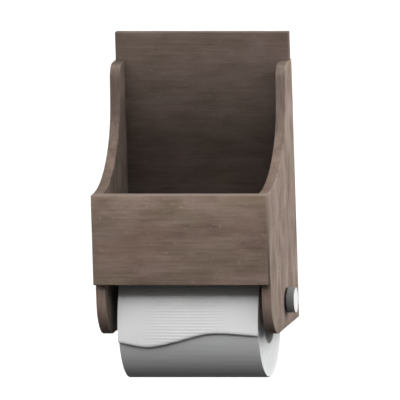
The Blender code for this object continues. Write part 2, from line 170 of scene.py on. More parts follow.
class Wire:       # a node's output, so that shader sums read like sums
    def __init__(self, paint, socket):
        self.paint, self.socket = paint, socket

    def __add__(self, other):
        return self.paint.maths("ADD", self, other)

    def __sub__(self, other):
        return self.paint.maths("SUBTRACT", self, other)

    def __rsub__(self, other):
        return self.paint.maths("SUBTRACT", other, self)

    def __mul__(self, other):
        return self.paint.maths("MULTIPLY", self, other)

    def __truediv__(self, other):
        return self.paint.maths("DIVIDE", self, other)

    def __pow__(self, other):
        return self.paint.maths("POWER", self, other)

    __radd__, __rmul__ = __add__, __mul__


class Paint:      # one material or world, built up from nodes
    def __init__(self, name, home=bpy.data.materials, shader="Principled BSDF"):
        self.material = home.new(name)
        self.material.use_nodes = True
        self.tree = self.material.node_tree
        self.shader = self.tree.nodes[shader]

    def plug(self, socket, value):
        if isinstance(value, Wire):
            self.tree.links.new(value.socket, socket)
        else:
            socket.default_value = value

    def node(self, kind, settings=None, inputs=None, output=0):
        made = self.tree.nodes.new("ShaderNode" + kind)
        for key, value in (settings or {}).items():
            setattr(made, key, value)
        for key, value in (inputs or {}).items():
            self.plug(made.inputs[key], value)
        return Wire(self, made.outputs[output])

    def maths(self, operation, a, b=0.0):
        return self.node("Math", {"operation": operation}, {0: a, 1: b})

    def coords(self):
        place = self.node("TexCoord", output="Object")
        return [self.node("SeparateXYZ", inputs={0: place}, output=axis) for axis in "XYZ"]

    def facing(self, axis):       # how far a surface faces along an axis of the object
        return self.node("SeparateXYZ", inputs={0: self.node("TexCoord", output="Normal")}, output=axis)

    def distance(self, place, middle):        # from a centre line along x
        dy, dz = place[1] - middle.y, place[2] - middle.z
        return self.maths("SQRT", dy * dy + dz * dz)

    def spin(self, place, middle):        # the angle round a centre line along x
        return self.maths("ARCTAN2", place[2] - middle.z, place[1] - middle.y)

    def noise(self, x, y, z, detail=2.0, rough=0.5, warp=0.0):
        where = self.node("CombineXYZ", inputs={0: x, 1: y, 2: z})
        inputs = {"Vector": where, "Scale": 1.0, "Detail": detail, "Roughness": rough, "Distortion": warp}
        return self.node("TexNoise", inputs=inputs)

    def evenNoise(self, place, scale, **settings):        # of the same size every way
        return self.noise(*[axis * scale for axis in place], **settings)

    def span(self, value, low, high):     # 0 at low, 1 at high, and level beyond them
        return self.node("MapRange", inputs={"Value": value, "From Min": low, "From Max": high})

    def mix(self, factor, a, b, way="MIX"):
        return self.node("Mix", {"data_type": "RGBA", "blend_type": way},
                         {0: factor, 6: a, 7: b}, output=2)

    def times(self, colour, by):
        return self.mix(1.0, colour, by, "MULTIPLY")

    def grey(self, value, tint=(1, 1, 1)):
        return self.node("CombineColor", inputs={n: value * share for n, share in enumerate(tint)})

    def finish(self, colour, rough, height=None, depth=0.0, strength=1.0, **constants):
        self.plug(self.shader.inputs["Base Color"], colour)
        self.plug(self.shader.inputs["Roughness"], rough)
        if height is not None:
            inputs = {"Height": height, "Distance": depth, "Strength": strength}
            self.plug(self.shader.inputs["Normal"], self.node("Bump", inputs=inputs))
        for key, value in constants.items():
            self.shader.inputs[key.replace("_", " ")].default_value = value
        return self.material


def rgb(red, green, blue):
    return (red, green, blue, 1.0)


# stained wood

stain = dict(         # the stain lies matt on the wood
    pale=rgb(0.238, 0.181, 0.150), mid=rgb(0.177, 0.129, 0.102), deep=rgb(0.116, 0.082, 0.063),
    olive=rgb(0.163, 0.127, 0.088), rosy=rgb(0.212, 0.139, 0.115),
    # the end grain colour also colours the painted shade on faces turned downwards
    worn=rgb(0.280, 0.225, 0.190), endGrainAndShade=rgb(0.036, 0.026, 0.020),
    warmed=rgb(0.96, 0.885, 0.86), greyed=rgb(0.99, 1.08, 1.15),      # these two tint another colour
    ringGap=3.4 * mm, ringWobble=2.6, poreDepth=0.14 * mm)
grainScale = dict(        # turns of noise in a metre, along the fibres and across them
    sway=(9, 28), fibre=(75, 1500), streak=(22, 520), blotch=(38, 104), drift=(17, 40), fleck=(85, 640),
    scuff=(300, 400))
fades = dict(         # the heights between which a tone comes in
    boxPaintedShade=(12 * mm, -66 * mm), sawnDark=(-120 * mm, -60 * mm), warmed=(-20 * mm, -80 * mm))


def woodFigure(paint, place, grain, pith):        # what the stain follows, as numbers from 0 to 1
    across, deep = [place[axis] for axis in "xyz" if axis != grain]

    def figure(kind, **settings):
        run, side = grainScale[kind]
        return paint.noise(place[grain] * run, across * side, deep * side, **settings)

    fromA, fromB = across - pith[0], deep - pith[1]
    rings = paint.maths("SQRT", fromA * fromA + fromB * fromB) / stain["ringGap"]
    ring = paint.maths("FRACT", rings + figure("sway") * stain["ringWobble"]) ** 3.0
    fibre = figure("fibre", detail=4, rough=0.62)
    streak = figure("streak", detail=3, rough=0.55)
    blotch = figure("blotch", detail=3, warp=0.3)
    drift = figure("drift", warp=0.3)
    fleck = paint.span(figure("fleck", detail=1), 0.66, 0.76)
    scuff = paint.span(figure("scuff", detail=3, warp=0.8), 0.62, 0.71)
    return ring, fibre, streak, blotch, drift, fleck, scuff


def patchyColour(paint, blotch, drift, patches, tints):       # the stain's five colours
    colour = paint.mix(paint.span(blotch, 0.50, 0.34) * patches, stain["mid"], stain["deep"])
    colour = paint.mix(paint.span(blotch, 0.50, 0.66) * patches, colour, stain["pale"])
    colour = paint.mix(paint.span(drift, 0.50, 0.64) * tints * 0.50, colour, stain["rosy"])
    return paint.mix(paint.span(drift, 0.50, 0.36) * tints * 0.45, colour, stain["olive"])


def stainedWood(name, grain, face, pith, tone=(1, 1, 1), patchy=0.5, streaky=1.0, wear=0.3, ringDepth=0.06,
                sawnDark=0.0, boxPaintedShade=0.0, paintedTopLight=None, endDark=None):
    # grain is the axis that the fibres run along, face the axis across the board's two broad sides,
    # and pith the place of the tree's middle across the grain
    paint = Paint(name)
    place = dict(zip("xyz", paint.coords()))
    z = place["z"]
    turned = {axis: paint.facing(axis.upper()) for axis in "xyz"}
    broad = paint.span(paint.maths("ABSOLUTE", turned[face]), 0.35, 0.85)        # 0 on the sawn edges
    ring, fibre, streak, blotch, drift, fleck, scuff = woodFigure(paint, place, grain, pith)

    calm = 0.2 + broad * 0.8          # sawn edges are plainer than the broad sides
    patches = calm * patchy
    colour = patchyColour(paint, blotch, drift, patches, calm * min(1.0, patchy * 2))
    colour = paint.mix(scuff * broad * min(0.5, patchy), colour, stain["worn"])       # knocks show pale wood
    lines = (streak - 0.5) * (0.4 + patches * 0.5) + (fibre - 0.5) * 0.5
    shade = 1.02 + (lines * streaky - ring * ringDepth - fleck * 0.16) * (0.3 + broad * 0.7)

    if boxPaintedShade:       # painted shade: the faces inside the box darken on the way down
        inward = 0.0 - (turned["y"] if face == "y" else turned["x"] * place["x"] / frontHigh.x)
        inBox = paint.span(inward, 0.2, 0.7) * paint.span(z, floorLow.z, floorHigh.z)
        shade = shade * (1.0 - inBox * paint.span(z, *fades["boxPaintedShade"]) * boxPaintedShade)
    if sawnDark:      # the sawn edges darken above the box, and keep a warmer tone low down
        shade = shade * (1.0 - (1.0 - broad) * paint.span(z, *fades["sawnDark"]) * sawnDark)
        lowEdge = (1.0 - broad) * paint.span(z, *fades["warmed"])
        colour = paint.mix(lowEdge, colour, paint.times(colour, stain["warmed"]))
    if paintedTopLight:       # painted light: the front is painted paler between two heights by a share, standing in for light from above, and its top is greyer
        low, high, paler = paintedTopLight
        ahead = paint.span(0.0 - turned["y"], 0.2, 0.7)
        shade = shade * (1.0 + ahead * paint.span(z, low, high) * paler)
        topFace = paint.span(turned["z"], 0.2, 0.7)
        colour = paint.mix(topFace, colour, paint.times(colour, stain["greyed"]))
    colour = paint.times(colour, paint.grey(shade, tone))

    edge = paint.node("Attribute", {"attribute_name": "edgeWear"}, output="Fac")
    rubbed = paint.span(edge + (streak - 0.5) * 0.9 + (blotch - 0.5) * 0.9, 0.70, 1.05)
    colour = paint.mix(rubbed * wear, colour, stain["worn"])

    cutEnd = paint.span(paint.maths("ABSOLUTE", turned[grain]), 0.80, 0.97)
    if endDark:       # the end grain darkens towards the bottom
        darkEndsAndUnderShade = cutEnd * paint.span(z, *endDark) * 0.85
    else:
        # the end grain takes more stain, and faces turned downwards get painted shade
        darkEndsAndUnderShade = cutEnd * 0.35 + paint.span(0.0 - turned["z"], 0.15, 0.85) * 0.35
    colour = paint.mix(darkEndsAndUnderShade, colour, stain["endGrainAndShade"])

    rough = 0.78 + (fibre - 0.5) * 0.28 + fleck * 0.10 - rubbed * 0.06
    height = fibre * 0.7 + streak * 0.3 - fleck * 0.4
    return paint.finish(colour, rough, height, depth=stain["poreDepth"], strength=0.7,
                        Specular_IOR_Level=0.03)


frontLow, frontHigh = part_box("front_board")
floorLow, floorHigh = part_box("box_floor")
sideLook = dict(grain="z", face="x", tone=(1.15, 1.21, 1.28), patchy=0.8, ringDepth=0.10, boxPaintedShade=0.40)
boardLooks = {
    "front board": dict(grain="x", face="y", pith=(-128 * mm, -215 * mm), patchy=0.50, streaky=0.85,
                        wear=0.06, paintedTopLight=(frontHigh.z - 30 * mm, frontHigh.z, 0.36),
                        endDark=(frontHigh.z + 4 * mm, frontLow.z + 15 * mm)),
    "back board": dict(grain="x", face="y", pith=(50 * mm, -60 * mm), tone=(0.76, 0.78, 0.83), patchy=0.34,
                       streaky=0.7, wear=0.10, boxPaintedShade=0.70),
    "box floor": dict(grain="x", face="z", pith=(-60 * mm, -210 * mm), tone=(0.60, 0.61, 0.64), patchy=0.35),
    "left side": dict(pith=(12 * mm, -190 * mm), sawnDark=0.40, **sideLook),
    "right side": dict(pith=(0.0, -210 * mm), sawnDark=0.24, **sideLook)}
woods = {name: stainedWood(name + " stain", **look) for name, look in boardLooks.items()}
print("stained wood mixed")


# boards

boards = dict(easedEdge=0.6 * mm, edgeSteps=3, sharpFrom=40,          # in degrees
              sliceGap=5.5 * mm, markGap=mm, wearReach=4.5 * mm, dent=0.14 * mm,
              dentScale=(95, 240),        # turns of noise in a metre, for the broad dents and the small ones
              glued=0.3 * mm)         # bears a board up against its neighbour


def markEdges(piece):     # notes points along the sharp edges, before they are eased
    sharp = []
    mesh = bmesh.new()
    mesh.from_mesh(piece.data)
    for edge in mesh.edges:
        if len(edge.link_faces) == 2 and edge.calc_face_angle() > math.radians(boards["sharpFrom"]):
            a, b = edge.verts[0].co, edge.verts[1].co
            steps = max(1, math.ceil((b - a).length / boards["markGap"]))
            sharp += [a.lerp(b, n / steps) for n in range(steps + 1)]
    mesh.free()
    tree = kdtree.KDTree(len(sharp))
    for n, spot in enumerate(sharp):
        tree.insert(spot, n)
    tree.balance()
    return tree


def finishBoard(piece, axes):     # eases the edges, wears them and smooths the rest
    only(piece)
    edges = markEdges(piece)
    applied(piece, "BEVEL", width=boards["easedEdge"], segments=boards["edgeSteps"],
            limit_method="ANGLE", angle_limit=math.radians(boards["sharpFrom"]))
    for axis in axes:
        sliceAcross(piece, axis, boards["sliceGap"])
    wear = piece.data.attributes.new("edgeWear", "FLOAT", "POINT")
    broadly, finely = boards["dentScale"]
    for v in piece.data.vertices:
        worn = max(0.0, 1.0 - edges.find(v.co)[2] / boards["wearReach"])
        wear.data[v.index].value = worn
        if worn > 0.5:
            knock = max(0.0, noise.noise(v.co * broadly)) + 0.6 * max(0.0, noise.noise(v.co * finely))
            v.co = v.co - v.normal * boards["dent"] * knock * worn
    smooth(piece, boards["sharpFrom"])


sideBoard = dict(earRadius=31 * mm, earSteps=20, sweepHeight=65 * mm, sweepSides=192,
                 neckDepthBase=32.5 * mm, neckDepthTop=30 * mm, shoulderRadius=11 * mm, shoulderSteps=14,
                 holeRadius=6.85 * mm, holeSides=64, socketDepth=5.5 * mm,
                 spare=10 * mm)       # how far a cutter reaches past the board
rodLow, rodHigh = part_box("roll_rod")
rodMiddle = (rodLow + rodHigh) / 2


def roundEar(board, low):         # the round corner low at the front
    edit(board)
    pick(board, "EDGE", lambda e: all(near(v.co.y, low.y) and near(v.co.z, low.z) for v in e.verts))
    roundEdges(sideBoard["earRadius"], sideBoard["earSteps"])


def hollowSweep(board, low, high, sweepTop):      # a quarter ellipse from the box's rim up to the neck
    nothing()
    bpy.ops.mesh.primitive_cylinder_add(vertices=sideBoard["sweepSides"], radius=1,
                                        depth=high.x - low.x + 2 * sideBoard["spare"],
                                        location=((low.x + high.x) / 2, low.y, sweepTop),
                                        rotation=(0, math.pi / 2, 0))
    bpy.context.active_object.scale = (sideBoard["sweepHeight"], -sideBoard["neckDepthBase"] - low.y, 1)
    cutAway(board, settle())


def leanNeck(board, low, high, sweepTop):         # narrows the neck on its way up and rounds its shoulder
    base, top, spare = sideBoard["neckDepthBase"], sideBoard["neckDepthTop"], sideBoard["spare"]
    above = block((low.x - spare, low.y - spare, sweepTop), (high.x + spare, -base, high.z + spare))
    edit(above)
    pick(above, "VERT", lambda v: v.co.z > high.z and v.co.y > low.y)
    lean = (base - top) / (high.z - sweepTop)
    bpy.ops.transform.translate(value=(0, lean * (high.z + spare - sweepTop), 0))
    cutAway(board, above)
    edit(board)
    pick(board, "EDGE", lambda e: all(near(v.co.y, -top, 0.3 * mm) and near(v.co.z, high.z) for v in e.verts))
    roundEdges(sideBoard["shoulderRadius"], sideBoard["shoulderSteps"])


def drillForRod(board, low, high, side):      # a blind socket in the left board, a through hole in the right
    spare = sideBoard["spare"]
    inner = high.x if side < 0 else low.x
    depth = sideBoard["socketDepth"] if side < 0 else high.x - low.x + spare
    drill = roundBar(inner - side * spare, inner + side * depth, rodMiddle, sideBoard["holeRadius"],
                     sideBoard["holeSides"])
    cutAway(board, drill)


def makeSideBoard(name, node, side, material):
    low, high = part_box(node)
    board = block(low, high, name)
    sweepTop = frontHigh.z + sideBoard["sweepHeight"]
    roundEar(board, low)
    hollowSweep(board, low, high, sweepTop)
    leanNeck(board, low, high, sweepTop)
    drillForRod(board, low, high, side)
    finishBoard(board, (1, 2))
    dress(board, "frame", node, material)


makeSideBoard("left_side_wood", "left_side_board", -1, woods["left side"])
makeSideBoard("right_side_wood", "right_side_board", 1, woods["right side"])
print("side boards shaped")


def makePlank(name, node, material, axes, gluedLow, gluedHigh):
    # a plain plank, worn along its edges; the last two mark the sides where it is glued, as x, y and z
    low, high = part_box(node)
    plank = block(low - Vector(gluedLow) * boards["glued"], high + Vector(gluedHigh) * boards["glued"], name)
    finishBoard(plank, axes)
    dress(plank, "frame", node, material)


makePlank("front_plank", "front_board", woods["front board"], (0, 2), (0, 0, 0), (0, 1, 0))
makePlank("floor_plank", "box_floor", woods["box floor"], (0, 1), (1, 1, 0), (1, 1, 0))

backBoard = dict(bodyHalf=64.7 * mm, shoulderGap=0.3 * mm, recessDepth=1.8 * mm, recessMargin=0.3 * mm,
                 recessCorner=4.3 * mm, recessSteps=6, pocketRadius=5.6 * mm, pocketDepth=6 * mm,
                 pocketCorner=0.999,      # of its radius, so that no side shrinks to nothing
                 pocketSteps=12, travel=11 * mm, spare=mm)


def cutRounded(board, low, high, corner, steps):      # a hollow in the back with round corners
    tool = block(low, high)
    edit(tool)
    pick(tool, "EDGE", lambda e: near(e.verts[0].co.x, e.verts[1].co.x)
         and near(e.verts[0].co.z, e.verts[1].co.z))
    roundEdges(corner, steps)
    cutAway(board, tool)


def cutForPlate(board, node):         # the recess that a keyhole plate lies in, and the screw head's pocket
    low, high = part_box(node)
    margin, spare = backBoard["recessMargin"], backBoard["spare"]
    cutRounded(board, (low.x - margin, -backBoard["recessDepth"], low.z - margin),
               (high.x + margin, spare, high.z + margin),
               backBoard["recessCorner"], backBoard["recessSteps"])
    middle, wide = (low.x + high.x) / 2, backBoard["pocketRadius"]
    cutRounded(board, (middle - wide, -backBoard["pocketDepth"], -backBoard["travel"] - wide),
               (middle + wide, spare, wide),
               wide * backBoard["pocketCorner"], backBoard["pocketSteps"])


def makeBackBoard():
    low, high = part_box("back_board")
    board = block(low, high, "back_plank")
    spare = backBoard["spare"]
    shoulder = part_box("left_side_board")[1].z + backBoard["shoulderGap"] - boards["glued"]
    for side in (-1, 1):      # the notches that the side boards stand in
        a, b = sorted((side * (backBoard["bodyHalf"] + boards["glued"]), side * (high.x + spare)))
        cutAway(board, block((a, low.y - spare, low.z - spare), (b, high.y + spare, shoulder)))
    for node in ("keyhole_plate_left", "keyhole_plate_right"):
        cutForPlate(board, node)
    finishBoard(board, (0, 2))
    dress(board, "frame", "back_board", woods["back board"])


makeBackBoard()
print("front, floor and back boards shaped")


# toilet roll

paper = dict(fluff=700, cloud=60,         # turns of noise in a metre
             fluffDepth=0.14 * mm)
roll = dict(sides=144, bundles=13, stepUp=0.16 * mm, stepBack=0.62, coreGap=0.3 * mm, rimRound=1.2 * mm,
            rimSteps=4, sliceGap=6 * mm, uneven=0.22 * mm, skin=2 * mm,
            tint=(0.526, 0.529, 0.531), paintedRimHighlight=(7 * mm, 1.5 * mm),       # the tint is painted shade, greyer than the loose sheet's; the painted highlight on the ends' rims fades in between these depths
            turnScale=3400, bundleScale=620, rippleScale=(22, 15), unevenScale=(16, 45))
rollLow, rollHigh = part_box("paper_roll")
rollMiddle = (rollLow + rollHigh) / 2
rollRadius = (rollHigh.z - rollLow.z) / 2
coreLow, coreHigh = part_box("card_core")
coreRadius = (coreHigh.z - coreLow.z) / 2


def paperBase(paint, tint):
    place = paint.coords()
    fluff = paint.evenNoise(place, paper["fluff"], detail=4, rough=0.65)
    cloud = paint.evenNoise(place, paper["cloud"], detail=3)
    shade = 0.97 + (fluff - 0.5) * 0.10 + (cloud - 0.5) * 0.05
    return place, fluff, paint.grey(shade, tint)


def woundPaper():     # tissue outside, and the edges of its turns on the ends
    paint = Paint("wound tissue")
    place, fluff, colour = paperBase(paint, roll["tint"])
    x, radius, spin = place[0], paint.distance(place, rollMiddle), paint.spin(place, rollMiddle)
    sine, cosine = paint.maths("SINE", spin), paint.maths("COSINE", spin)
    onEnd = paint.span(paint.maths("ABSOLUTE", paint.facing("X")), 0.78, 0.98)
    turns = paint.noise(radius * roll["turnScale"], sine * 0.9, x * 20, detail=3, rough=0.7)
    bundles = paint.noise(radius * roll["bundleScale"], cosine * 0.7, x * 8)
    lines = paint.span(turns, 0.38, 0.60) * 0.6 + paint.span(bundles, 0.35, 0.62) * 0.4
    # painted light: the ends are lifted lighter than the painted-shade outside, and their last turns at the
    # rim get a painted highlight
    rim = paint.span(radius, *[rollRadius - inward for inward in roll["paintedRimHighlight"]])
    endShade = paint.grey(1.12 + lines * 0.20 + rim * 0.18)
    colour = paint.mix(onEnd, colour, paint.times(colour, endShade))
    run, around = roll["rippleScale"]
    ripple = paint.noise(x * run, sine * around, cosine * around, detail=1, rough=0.4)
    height = (1.0 - onEnd) * (fluff * 0.35 + ripple * 2.0) + onEnd * (lines * 0.8 + fluff * 0.2)
    return paint.finish(colour, 0.92 + (fluff - 0.5) * 0.1, height, depth=paper["fluffDepth"], strength=0.6,
                        Specular_IOR_Level=0.1)


def makeRoll():
    wound = roundBar(rollLow.x, rollHigh.x, rollMiddle, rollRadius, roll["sides"], "wound_paper")
    edit(wound)
    pick(wound, "FACE", lambda f: abs(f.normal.x) > 0.9)
    half = (rollHigh.x - rollLow.x) / 2
    wall = rollRadius - coreRadius - roll["coreGap"]
    for n in range(roll["bundles"]):      # turns of paper stand a hair in and out of the end
        bpy.ops.mesh.inset(thickness=wall / roll["bundles"], use_even_offset=True)
        push = roll["stepUp"] * (-1.0 if n % 2 == 0 else roll["stepBack"]) / half
        bpy.ops.transform.resize(value=(1 + push, 1, 1), center_override=rollMiddle)
    bpy.ops.mesh.bridge_edge_loops()
    for at in (rollLow.x, rollHigh.x):
        pickRim(wound, at, rollMiddle, rollRadius)
        roundEdges(roll["rimRound"], roll["rimSteps"])
    sliceAcross(wound, 0, roll["sliceGap"])
    run, around = roll["unevenScale"]
    for v in wound.data.vertices:         # paper never winds dead round
        out = Vector((0, v.co.y - rollMiddle.y, v.co.z - rollMiddle.z))
        if out.length > rollRadius - roll["skin"]:
            sink = 0.5 + 0.5 * noise.noise(Vector((v.co.x * run, out.y * around, out.z * around)))
            v.co -= out.normalized() * roll["uneven"] * sink
    smooth(wound, 40)
    dress(wound, "roll", "paper_roll", woundPaper())


makeRoll()

core = dict(sides=96, boreRadius=20.75 * mm, easedEdge=0.18 * mm, edgeSteps=2, seamPitch=62 * mm,
            pale=rgb(0.32, 0.31, 0.295), dark=rgb(0.215, 0.207, 0.195), seam=rgb(0.09, 0.07, 0.05),
            fleck=rgb(0.42, 0.38, 0.32))


def woundCard():
    paint = Paint("wound card")
    place = paint.coords()
    turn = paint.spin(place, rollMiddle) / math.tau
    seam = paint.maths("FRACT", place[0] / core["seamPitch"] + turn)
    line = 1.0 - paint.span(paint.maths("ABSOLUTE", seam - 0.5), 0.006, 0.02)
    fluff = paint.evenNoise(place, 500, detail=4, rough=0.7)
    fleck = paint.span(paint.evenNoise(place, 1500, detail=1), 0.66, 0.74)
    colour = paint.mix(paint.span(fluff, 0.3, 0.7), core["dark"], core["pale"])
    colour = paint.mix(line * 0.6, colour, core["seam"])
    colour = paint.mix(fleck * 0.5, colour, core["fleck"])
    return paint.finish(colour, 0.85 + (fluff - 0.5) * 0.2, fluff * 0.6 - line, depth=0.15 * mm, strength=0.6)


def makeCore():
    tube = roundBar(coreLow.x, coreHigh.x, rollMiddle, coreRadius, core["sides"], "card_tube")
    edit(tube)
    pick(tube, "FACE", lambda f: abs(f.normal.x) > 0.9)
    bpy.ops.mesh.inset(thickness=coreRadius - core["boreRadius"], use_even_offset=True)
    bpy.ops.mesh.bridge_edge_loops()
    for at in (coreLow.x, coreHigh.x):
        for radius in (coreRadius, core["boreRadius"]):
            pickRim(tube, at, rollMiddle, radius)
            roundEdges(core["easedEdge"], core["edgeSteps"])
    smooth(tube, 40)
    dress(tube, "roll", "card_core", woundCard())


makeCore()
print("roll wound on its core")


# loose sheet

sheet = dict(
    across=90, down=190,      # how finely it is divided
    thickness=0.5 * mm, inner=49.9 * mm, lap=math.radians(78),        # how it lies on the roll
    drop=17.5 * mm, shortBy=0.9 * mm, torn=0.12 * mm, tornScale=(60, 190),        # its torn edge
    lift=2.85 * mm, liftLength=24 * mm, liftCurve=1.6,        # how its end stands off the roll
    tuck=0.3 * mm, tuckLength=1.2 * mm,       # how its edge curls under
    ribGap=2.45 * mm, ribHeight=0.19 * mm, ribMiddle=-0.05, ribSpread=0.62, ribCurve=2.5,
    bulge=0.4 * mm, bulgeScale=(2.4, 1.6),
    joined=0.06, sink=0.85 * mm, sinkCurve=1.5,       # how its lap sinks into the roll
    # the lap is greyed as painted shade to meet the roll's, and the torn edge carries a painted shadow
    tint=(0.80, 0.805, 0.803), lapFade=(0.34, 0.02), lapPaintedShade=0.34, tornShadeFrom=0.968, tornEdgePaintedShade=0.45)
tornShares = ((-1.0, 0.79), (-0.59, 1.03), (-0.2, 0.79), (0.03, 0.57), (0.25, 0.40), (0.47, 0.36),
              (1.0, 0.49))        # across, and down as a share of the drop


def tornEdge(across):     # how far down the torn edge hangs, on a smooth curve through the shares
    n = next(i for i in range(len(tornShares) - 1) if across <= tornShares[i + 1][0] + 1e-6)
    slopes = []
    for i in (n, n + 1):
        before, after = tornShares[max(i - 1, 0)], tornShares[min(i + 1, len(tornShares) - 1)]
        slopes.append((after[1] - before[1]) / (after[0] - before[0]))
    (x0, y0), (x1, y1) = tornShares[n], tornShares[n + 1]
    width = x1 - x0
    t = (across - x0) / width
    return sheet["drop"] * (y0 * (2 * t ** 3 - 3 * t ** 2 + 1) + slopes[0] * width * (t ** 3 - 2 * t ** 2 + t)
                            + y1 * (3 * t ** 2 - 2 * t ** 3) + slopes[1] * width * (t ** 3 - t ** 2))


def sheetPoint(across, share):        # from the lap at share 0 to the torn edge at share 1
    inner = sheet["inner"] + sheet["thickness"] / 2
    coarse, fine = sheet["tornScale"]
    ragged = sheet["torn"] * (noise.noise(Vector((across * coarse, 3.1, 0)))
                              + noise.noise(Vector((across * fine, 7.7, 0))))
    tip = math.asin((tornEdge(across) - sheet["shortBy"] + ragged) / (inner + sheet["lift"]))
    angle = sheet["lap"] - share * (sheet["lap"] + tip)
    fromTip = (angle + tip) * inner
    free = min(1.0, share * 4)        # 0 at the lap, where it lies flat
    lift = sheet["lift"] * max(0.0, 1.0 - fromTip / sheet["liftLength"]) ** sheet["liftCurve"]
    curled = sheet["tuck"] * max(0.0, 1.0 - fromTip / sheet["tuckLength"]) ** 2
    sunk = sheet["sink"] * max(0.0, 1.0 - share / sheet["joined"]) ** sheet["sinkCurve"]
    fromMiddle = abs((across - sheet["ribMiddle"]) / sheet["ribSpread"])
    ribbed = max(0.0, 1.0 - fromMiddle ** sheet["ribCurve"])
    rib = sheet["ribHeight"] * ribbed * math.sin(math.tau * angle * inner / sheet["ribGap"])
    side, down = sheet["bulgeScale"]
    swell = sheet["bulge"] * max(0.0, noise.noise(Vector((across * side, angle * down, 1.7))))
    radius = inner + lift - curled - sunk + rib * free + swell * free * (1.0 - lift / sheet["lift"])
    return -radius * math.cos(angle), radius * math.sin(angle)


def tissue():
    paint = Paint("loose tissue")
    place, fluff, colour = paperBase(paint, sheet["tint"])
    hung = paint.node("Attribute", {"attribute_name": "hung"}, output="Fac")      # from 0 at the lap to 1
    # painted shade: the lap greys to meet the roll, and the torn edge darkens
    lapPaintedShade = paint.span(hung, *sheet["lapFade"]) * sheet["lapPaintedShade"]
    tornEdgePaintedShade = paint.span(hung, sheet["tornShadeFrom"], 1.0) ** 1.5 * sheet["tornEdgePaintedShade"]      # painted shadow along its torn edge
    colour = paint.times(colour, paint.grey(1.0 - lapPaintedShade - tornEdgePaintedShade))
    dots = paint.evenNoise(place, 260)
    return paint.finish(colour, 0.93 + (fluff - 0.5) * 0.1, fluff * 0.5 + dots * 0.6, depth=0.10 * mm,
                        strength=0.5, Specular_IOR_Level=0.1)


def makeSheet():
    low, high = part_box("loose_sheet")
    width = high.x - low.x
    nothing()
    bpy.ops.mesh.primitive_grid_add(x_subdivisions=sheet["across"], y_subdivisions=sheet["down"], size=1,
                                    location=rollMiddle)
    made = bpy.context.active_object
    hung = made.data.attributes.new("hung", "FLOAT", "POINT")
    for v in made.data.vertices:      # bends the flat sheet over the roll, in the roll's own place
        across, share = v.co.x * 2, v.co.y + 0.5
        hung.data[v.index].value = share
        y, z = sheetPoint(across, share)
        v.co = (across * width / 2, y, z)
    settle("tissue_sheet")
    applied(made, "SOLIDIFY", thickness=sheet["thickness"], offset=0)
    edit(made)
    bpy.ops.mesh.select_all(action="SELECT")
    bpy.ops.mesh.normals_make_consistent(inside=False)
    smooth(made, 50)
    dress(made, "roll", "loose_sheet", tissue())


makeSheet()
print("loose sheet hung")


# rod, washer and knob

brushed = dict(along=25, across=2600, smudge=90,      # turns of noise in a metre
               depth=0.02 * mm)


def brushedSteel(name, tint, lineAxis, rough=0.34):
    paint = Paint(name)
    place = dict(zip("xyz", paint.coords()))
    stretch = {axis: brushed["along" if axis == lineAxis else "across"] for axis in "xyz"}
    lines = paint.noise(*[place[axis] * stretch[axis] for axis in "xyz"], detail=3, rough=0.6)
    smudge = paint.evenNoise(place.values(), brushed["smudge"], detail=3)
    shade = 0.92 + (lines - 0.5) * 0.25 + (smudge - 0.5) * 0.12
    return paint.finish(paint.grey(shade, tint), rough + (lines - 0.5) * 0.25 + (smudge - 0.5) * 0.2, lines,
                        depth=brushed["depth"], strength=0.5, Metallic=1.0)


rod = dict(sides=64, studRadius=3 * mm, chamfer=0.8 * mm, chamferSteps=3, steel=(0.42, 0.42, 0.43))


def makeRod():
    radius = (rodHigh.z - rodLow.z) / 2
    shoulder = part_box("right_side_board")[1].x
    bar = roundBar(rodLow.x, shoulder, rodMiddle, radius, rod["sides"], "steel_rod")
    edit(bar)
    pick(bar, "FACE", lambda f: f.normal.x > 0.9)         # the stud that carries the knob
    bpy.ops.mesh.inset(thickness=radius - rod["studRadius"], use_even_offset=True)
    bpy.ops.mesh.extrude_region_move(TRANSFORM_OT_translate={"value": (rodHigh.x - shoulder, 0, 0)})
    for at, size, chamfer in ((rodLow.x, radius, rod["chamfer"]), (shoulder, radius, rod["chamfer"]),
                              (rodHigh.x, rod["studRadius"], rod["chamfer"] / 2)):
        pickRim(bar, at, rodMiddle, size)
        roundEdges(chamfer, rod["chamferSteps"])
    smooth(bar, 40)
    dress(bar, "rod", "roll_rod", brushedSteel("rod steel", rod["steel"], "x"))


knob = dict(sides=128, chamfer=0.55 * mm, chamferSteps=4, dish=0.12 * mm, dishRim=0.9 * mm,
            studGap=0.35 * mm, holeDepth=4.2 * mm, face=rgb(0.655, 0.655, 0.655),
            barrel=rgb(0.165, 0.168, 0.167), lineScale=5200)


def knobChrome():     # polished on its face, dark satin round its barrel
    paint = Paint("turned chrome")
    place = paint.coords()
    x, y, z = place
    face = paint.span(paint.facing("X"), 0.75, 0.95)
    turned = paint.noise(paint.distance(place, rodMiddle) * knob["lineScale"], 0.3, 0.7)
    around = paint.noise(x * knob["lineScale"], y * 60, z * 60)
    lines = face * turned + (1.0 - face) * around
    smudge = paint.evenNoise(place, 260, detail=3)
    rough = 0.50 - face * 0.26 + (lines - 0.5) * 0.10 + (smudge - 0.5) * 0.12
    paint.plug(paint.shader.inputs["Metallic"], face)
    return paint.finish(paint.mix(face, knob["barrel"], knob["face"]), rough, lines, depth=0.015 * mm,
                        strength=0.4, Specular_IOR_Level=0.03)


